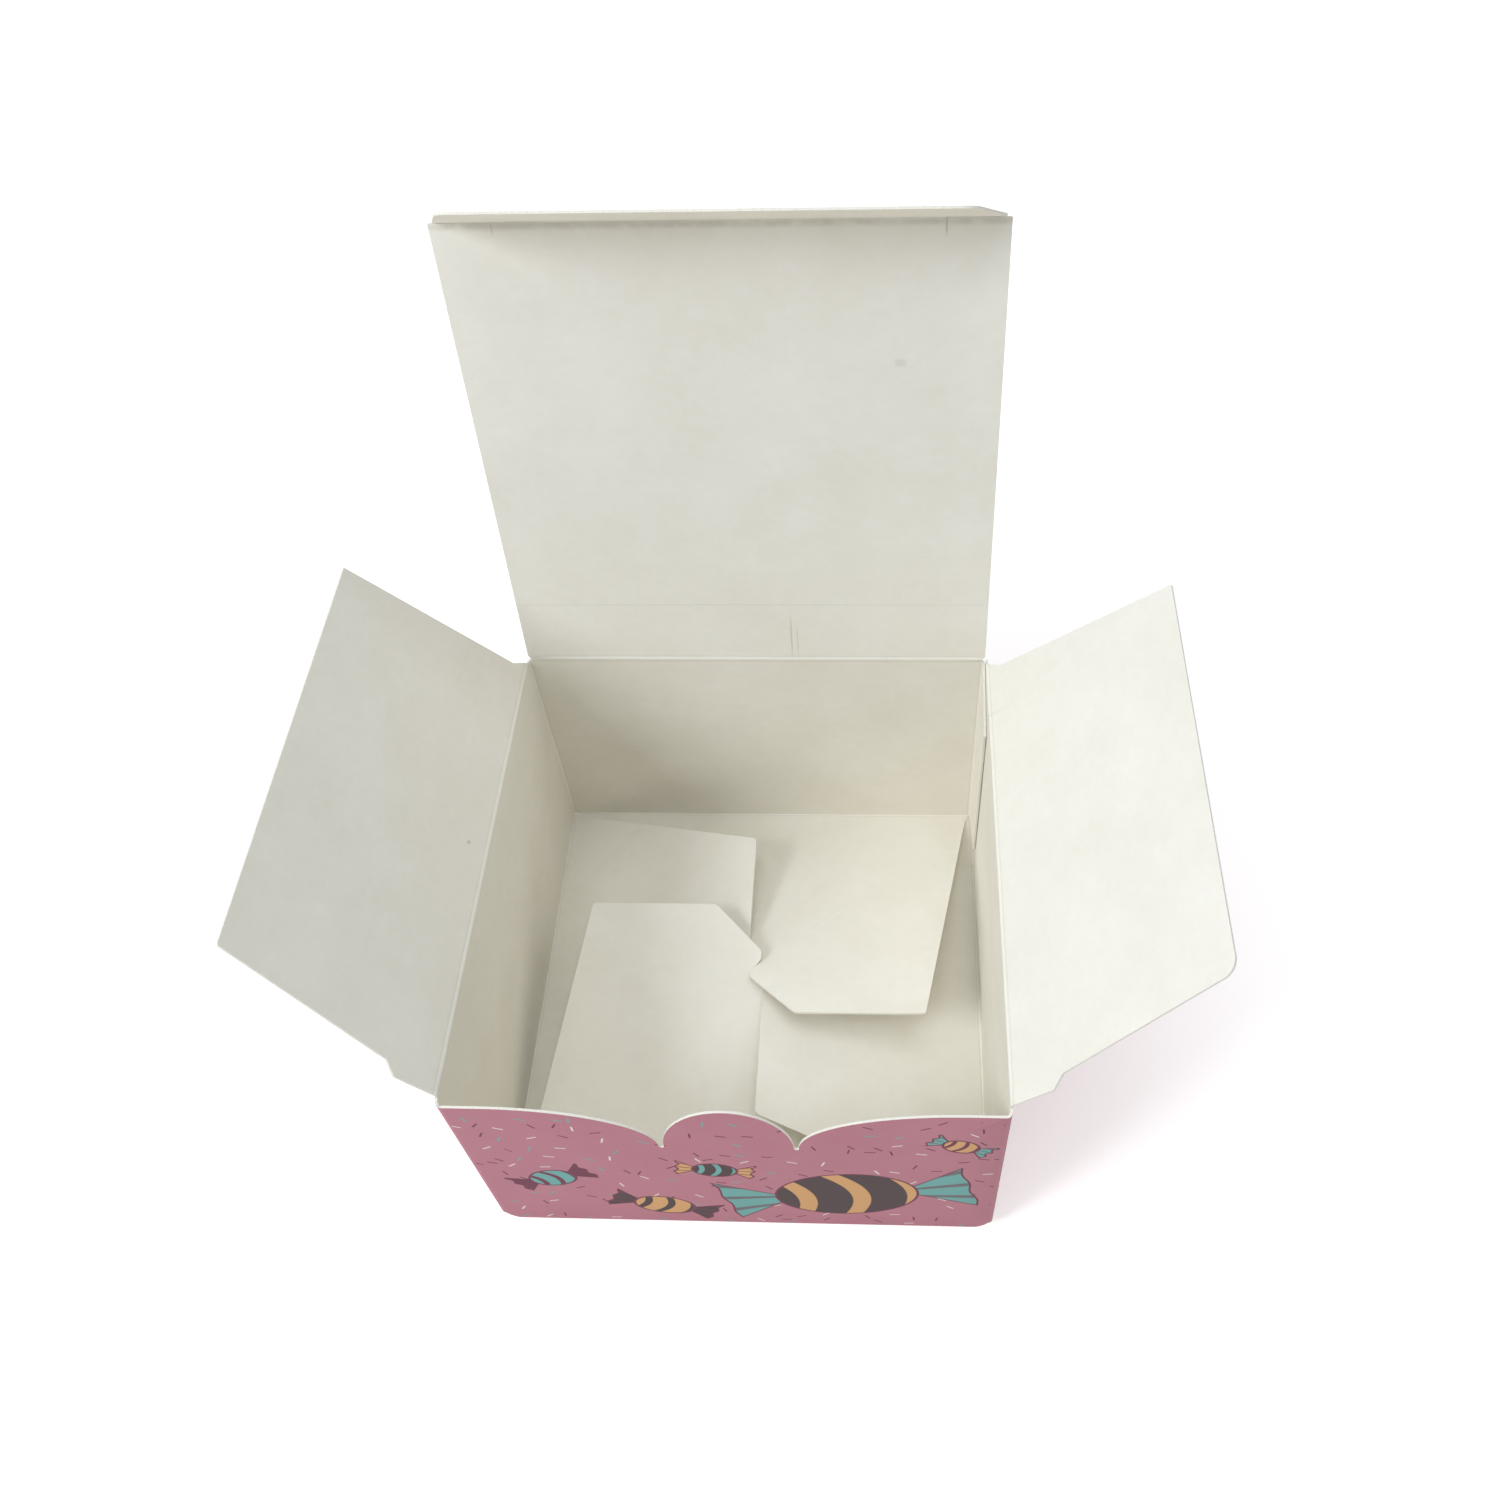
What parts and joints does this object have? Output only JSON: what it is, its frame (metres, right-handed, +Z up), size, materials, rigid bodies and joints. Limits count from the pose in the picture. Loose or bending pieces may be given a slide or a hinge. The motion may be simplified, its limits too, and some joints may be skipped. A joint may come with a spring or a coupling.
{
  "type": "candy box",
  "caption": "Folding paperboard carton with an interlocking bottom, two dust flaps and a hinged tuck-in lid, for sweets or small cakes.",
  "frame": {"origin": "middle of the front wall's lower edge, on the surface the carton stands on", "axes": "+Z up, +X to the right seen from the scalloped front wall, +Y towards the back wall that the lid hinges on"},
  "size_m": [0.1744, 0.1261, 0.1867],
  "materials": {
    "printed_board": "white uncoated paperboard inside, pink print outside, matt"
  },
  "bodies": {
    "carton": {"carton_body": "printed_board"},
    "lid": {"lid": "printed_board"},
    "tuck": {"tuck_flap": "printed_board"},
    "left_dust": {"left_dust_flap": "printed_board"},
    "right_dust": {"right_dust_flap": "printed_board"}
  },
  "joints": [
    {"name": "lid_hinge", "type": "hinge", "parent": "carton", "child": "lid", "pos_m": [0, 0.1095, 0.0669], "axis": [-1, 0, 0], "range_deg": [-98.5, 81.5]},
    {"name": "tuck_fold", "type": "hinge", "parent": "lid", "child": "tuck", "pos_m": [0, 0.1253, 0.17429], "axis": [1, 0, 0], "range_deg": [-61.5, 38.5]},
    {"name": "left_dust_hinge", "type": "hinge", "parent": "carton", "child": "left_dust", "pos_m": [-0.05475, 0.05475, 0.066], "axis": [0, -1, 0], "range_deg": [-123.5, 56.5]},
    {"name": "right_dust_hinge", "type": "hinge", "parent": "carton", "child": "right_dust", "pos_m": [0.05475, 0.05475, 0.066], "axis": [0, 1, 0], "range_deg": [-133, 47]}
  ]
}
